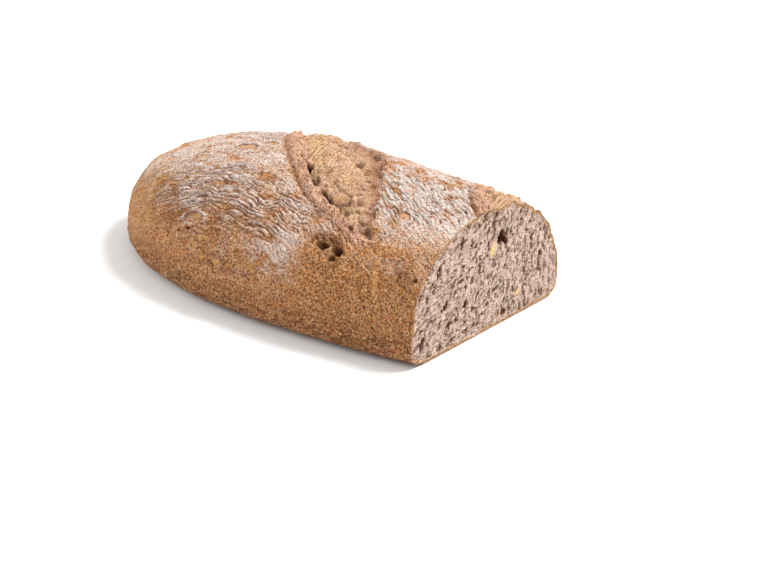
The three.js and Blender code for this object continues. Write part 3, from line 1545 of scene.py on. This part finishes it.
@dataclass(frozen=True)
class CrustFinish:
    """Baked crust: brown and speckled, floured above, golden where it tore open, with painted shade in its
    holes, gaps, creases and valleys.
    """

    brown: Colour = (0.47, 0.155, 0.036)
    golden: Colour = (0.69, 0.325, 0.105)
    # Dark specks, partly painted shade in the grain's crevices.
    dark: Colour = (0.15, 0.045, 0.012)
    # Pale curls, partly painted highlight on the grain's raised ridges.
    pale: Colour = (0.82, 0.55, 0.29)
    # Red-brown toasting, also used as painted shade in valleys, lows and toward the base.
    reddish: Colour = (0.28, 0.085, 0.025)
    opened: Colour = (0.7, 0.42, 0.225)
    opened_dark: Colour = (0.3, 0.11, 0.035)
    stretched: Colour = (0.76, 0.49, 0.225)
    lip: Colour = (0.76, 0.46, 0.32)
    flour: Colour = (0.84, 0.76, 0.705)
    # Painted shade in holes, pits, gaps and valleys.
    hole: Colour = (0.075, 0.03, 0.014)
    grain: Grain = Grain(170.0, 1080.0, 0.0009, shine=0.18)
    flour_grains: float = 1250.0
    flour_film: float = 0.48
    flour_cover: float = 0.88
    speck_share: float = 0.85
    bit_share: float = 0.52

    def build(self) -> bpy.types.Material:
        """Makes the material.

        Returns:
            The material.
        """
        graph = Baked(Slot.CRUST, self.grain)
        mottle, speck, curl = graph.mottle, graph.speck, graph.curl
        flour, opened, hollow = (graph.painted(m) for m in (Mask.FLOUR, Mask.OPENED, Mask.SHADE_IN_HOLLOWS))
        toast, golden, ear = (graph.painted(m) for m in (Mask.TOAST_AND_SHADE, Mask.GOLDEN, Mask.EAR))
        skin = graph.mix(graph.math("ADD", graph.times(mottle, 0.6), golden), self.brown, self.golden)
        # Toasting, with painted shade in the valleys, low spots and toward the base.
        skin = graph.mix(graph.times(toast, 0.7), skin, self.reddish)
        rough = graph.remap(golden, 0.1, 0.9, 1.0, 0.22)
        # Dark specks in the grain's low spots and pale curls on its raised ridges: the crust's own
        # speckling, with painted shade in the crevices and painted highlight on the ridges.
        specks = graph.times(graph.remap(speck, 0.5, 0.0), graph.times(rough, self.speck_share))
        skin = graph.mix(specks, skin, self.dark)
        skin = graph.mix(graph.times(curl, graph.remap(speck, 0, 1, 0.25, 1.0)), skin, self.pale)
        torn = graph.mix(golden, graph.mix(mottle, self.opened, self.lip), self.stretched)
        # The torn crumb: dark specks partly painted shade, toasting partly painted shade in its lows, and
        # pale curls partly painted highlight.
        torn = graph.mix(graph.times(graph.remap(speck, 0.45, 0.0), 0.8), torn, self.opened_dark)
        torn = graph.mix(graph.times(toast, 0.75), torn, self.reddish)
        torn = graph.mix(graph.times(curl, 0.3), torn, self.pale)
        lip = graph.mix(graph.remap(speck, 0.36, 0.0), self.lip, self.reddish)
        colour = graph.mix(graph.times(ear, 0.8), graph.mix(opened, skin, torn), lip)
        amount = graph.times(flour, graph.math("SUBTRACT", 1.0, graph.times(opened, 0.8)))
        inputs = {"Amount": amount, "Curl": curl, "Grains": self.flour_grains}
        dust = graph.node("ShaderNodeGroup", inputs, node_tree=DustGroup.tree()).outputs["Dust"]
        film = graph.math("MAXIMUM", dust, graph.times(amount, self.flour_film))
        colour = graph.mix(graph.times(film, self.flour_cover), colour, self.flour)
        # Dark bits partly painted shade in the grain's crevices, then painted shade in holes and hollows.
        bits = graph.times(graph.remap(speck, 0.25, 0.0), graph.times(rough, self.bit_share))
        bits = graph.times(bits, graph.remap(graph.math("MAXIMUM", ear, opened), 0, 1, 1.0, 0.25))
        colour = graph.mix(hollow, graph.mix(bits, colour, self.dark), self.hole)
        return graph.dress(colour, graph.remap(dust, 0, 1, 0.6, 0.95))


@dataclass(frozen=True)
class CrumbFinish:
    """Greyish pink crumb whose pores are painted brown as shade, with paler curls that are partly painted
    highlight, inside a golden rind.
    """

    # Pale crumb, also a painted highlight on the raised curls.
    pale: Colour = (0.84, 0.625, 0.505)
    mauve: Colour = (0.54, 0.36, 0.275)
    # Painted shade on the pore walls, and deeper in the pores.
    pore_wall_shade: Colour = (0.28, 0.13, 0.07)
    pore: Colour = (0.11, 0.038, 0.015)
    rind: Colour = (0.56, 0.32, 0.12)
    rind_dark: Colour = (0.3, 0.13, 0.045)
    grain: Grain = Grain(330.0, 1400.0, 0.0007, shine=0.3)

    def build(self) -> bpy.types.Material:
        """Makes the material.

        Returns:
            The material.
        """
        graph = Baked(Slot.CRUMB, self.grain)
        mottle, speck, hollow = graph.mottle, graph.speck, graph.painted(Mask.SHADE_IN_HOLLOWS)
        colour = graph.mix(mottle, self.mauve, self.pale)
        # Painted highlight on the crumb's raised curls.
        colour = graph.mix(graph.times(graph.curl, 0.5), colour, self.pale)
        # Painted shade in the grain's fine pores.
        colour = graph.mix(graph.times(graph.remap(speck, 0.28, 0.0), 0.55), colour, self.pore)
        rind = graph.mix(speck, self.rind_dark, self.rind)
        colour = graph.mix(graph.painted(Mask.GOLDEN), colour, rind)
        # Painted shade on the pore walls, darkest deep in the pores.
        colour = graph.mix(graph.remap(hollow, 0.12, 0.6), colour, self.pore_wall_shade)
        colour = graph.mix(graph.remap(hollow, 0.5, 1.0), colour, self.pore)
        return graph.dress(colour, graph.remap(mottle, 0, 1, 0.5, 0.75))


@dataclass(frozen=True)
class WalnutFinish:
    """Walnut: papery brown skin, and pale oily flesh where it broke or was sliced."""

    skin: Colour = (0.36, 0.17, 0.06)
    skin_dark: Colour = (0.16, 0.065, 0.025)
    flesh: Colour = (0.56, 0.36, 0.14)
    flesh_pale: Colour = (0.68, 0.49, 0.24)
    toasted: Colour = (0.6, 0.31, 0.085)
    toasted_dark: Colour = (0.4, 0.16, 0.04)
    grain: Grain = Grain(420.0, 1500.0, 0.0004, strength=0.6)

    def build(self) -> bpy.types.Material:
        """Makes the material.

        Returns:
            The material.
        """
        graph = Baked(Slot.WALNUT, self.grain)
        mottle, speck = graph.mottle, graph.speck
        skin = graph.mix(mottle, self.skin_dark, self.skin)
        flesh = graph.mix(speck, self.flesh, self.flesh_pale)
        toasted = graph.mix(graph.times(mottle, speck), self.toasted_dark, self.toasted)
        flesh = graph.mix(graph.times(graph.painted(Mask.TOAST_AND_SHADE), 0.9), flesh, toasted)
        colour = graph.mix(graph.painted(Mask.FLESH), skin, flesh)
        return graph.dress(colour, graph.remap(mottle, 0, 1, 0.35, 0.6))


@dataclass
class WalnutLoaf:
    """The bread and the walnut pieces that show in it."""

    form: LoafForm

    def kernels(self) -> list[Kernel]:
        """The walnut pieces: some sliced through by the knife, some showing in the crust.

        Returns:
            The pieces, not made yet.
        """
        cut = self.form.cut_x
        return [
            Kernel("walnut_face_upper", (cut - 1.2, 4.4, 37.0), (3.4, 2.7, 4.2), -25, 201, sliced_at=cut),
            Kernel("walnut_face_low", (cut - 1.4, 21.0, 11.0), (3.0, 3.4, 1.9), 35, 203, sliced_at=cut),
            Kernel("walnut_crust_front", (-0.3, -60.2, 23.1), (4.4, 1.7, 3.6), 10, 205, toasted=1.0),
            Kernel("walnut_crust_back", (22.0, 60.0, 20.0), (5.5, 1.7, 4.0), -15, 207, toasted=0.8),
            Kernel("walnut_crust_heel", (-88.0, 20.0, 26.0), (2.4, 4.2, 3.6), 0, 208, toasted=0.9),
        ]

    def build(self) -> None:
        """Builds and dresses every piece, and hangs it on the frame."""
        crust, crumb, walnut = CrustFinish().build(), CrumbFinish().build(), WalnutFinish().build()
        kernels = self.kernels()
        bread = Bread(self.form, kernels).build()
        bread.data.materials.append(crust)
        bread.data.materials.append(crumb)
        self.place(bread, Slot.CRUST)
        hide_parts(NODE)
        for kernel in kernels:
            piece = kernel.build()
            piece.data.materials.append(walnut)
            self.place(piece, Slot.WALNUT)

    @staticmethod
    def place(piece: bpy.types.Object, slot: Slot) -> None:
        """Hangs a piece on the loaf's body.

        Args:
            piece: The piece.
            slot: Not used.
        """
        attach(piece, BODY)
        log.info("%s: %d vertices", piece.name, len(piece.data.vertices))


@dataclass
class Studio:
    """A pale floor, soft light and the camera."""

    azimuth: float = math.radians(39.9)
    elevation: float = math.radians(24.58)
    distance: float = 1082.0
    aim_right: float = 34.6
    aim_up: float = -9.43
    lens: float = 109.94
    sensor: float = 36.0
    floor_half: float = 12000.0
    floor_grey: float = 0.82
    surround: float = 0.8

    def build(self) -> None:
        """Sets the studio up."""
        self.floor()
        self.lights()
        self.camera()
        view = bpy.context.scene.view_settings
        view.view_transform, view.look = "Standard", "None"

    def floor(self) -> None:
        """A plain pale floor."""
        half = self.floor_half * METRES
        mesh = bpy.data.meshes.new("floor")
        corners = [(-half, -half, 0), (half, -half, 0), (half, half, 0), (-half, half, 0)]
        mesh.from_pydata(corners, [], [(0, 1, 2, 3)])
        floor = bpy.data.objects.new("floor", mesh)
        bpy.context.scene.collection.objects.link(floor)
        material, shader = new_material("floor")
        shader.inputs["Base Color"].default_value = (self.floor_grey,) * 3 + (1,)
        shader.inputs["Roughness"].default_value = 0.9
        mesh.materials.append(material)

    def lights(self) -> None:
        """One broad light above and behind, one fill in front, and an even surround."""
        world = bpy.data.worlds.new("surround")
        world.use_nodes = True
        surround = world.node_tree.nodes["Background"]
        surround.inputs["Color"].default_value = (1, 1, 1, 1)
        surround.inputs["Strength"].default_value = self.surround
        bpy.context.scene.world = world
        self.area("key", (0.5, 0.6, 1.15), 0.5, 25.0)
        self.area("fill", (-0.95, -0.9, 0.75), 0.9, 9.0)

    @staticmethod
    def area(name: str, place_m: tuple[float, float, float], size_m: float, watts: float) -> None:
        """One square light that points at the loaf.

        Args:
            name: The light's name.
            place_m: Where it hangs, in metres.
            size_m: Its side, in metres.
            watts: Its power.
        """
        light = bpy.data.lights.new(name, "AREA")
        light.size, light.energy = size_m, watts
        made = bpy.data.objects.new(name, light)
        made.location = place_m
        made.rotation_euler = (LIT_PLACE_M - Vector(place_m)).to_track_quat("-Z", "Y").to_euler()
        made.visible_camera = False
        bpy.context.scene.collection.objects.link(made)

    def camera(self) -> None:
        """The camera, a little above the loaf and off its cut end."""
        sin_a, cos_a = math.sin(self.azimuth), math.cos(self.azimuth)
        sin_e, cos_e = math.sin(self.elevation), math.cos(self.elevation)
        back = Vector((sin_a * cos_e, -cos_a * cos_e, sin_e))
        right = Vector((cos_a, sin_a, 0))
        up = back.cross(right)
        place = back * self.distance + right * self.aim_right + up * self.aim_up
        camera = bpy.data.cameras.new("camera")
        camera.lens, camera.sensor_width = self.lens, self.sensor
        made = bpy.data.objects.new("camera", camera)
        made.location = place * METRES
        made.rotation_euler = Matrix((right, up, back)).transposed().to_euler()
        bpy.context.scene.collection.objects.link(made)
        bpy.context.scene.camera = made


def main() -> None:
    """Builds the loaf and its studio."""
    logging.basicConfig(level=logging.INFO, format="%(message)s")
    Studio().build()
    WalnutLoaf(LoafForm.from_frame()).build()


if __name__ == "__main__":
    main()
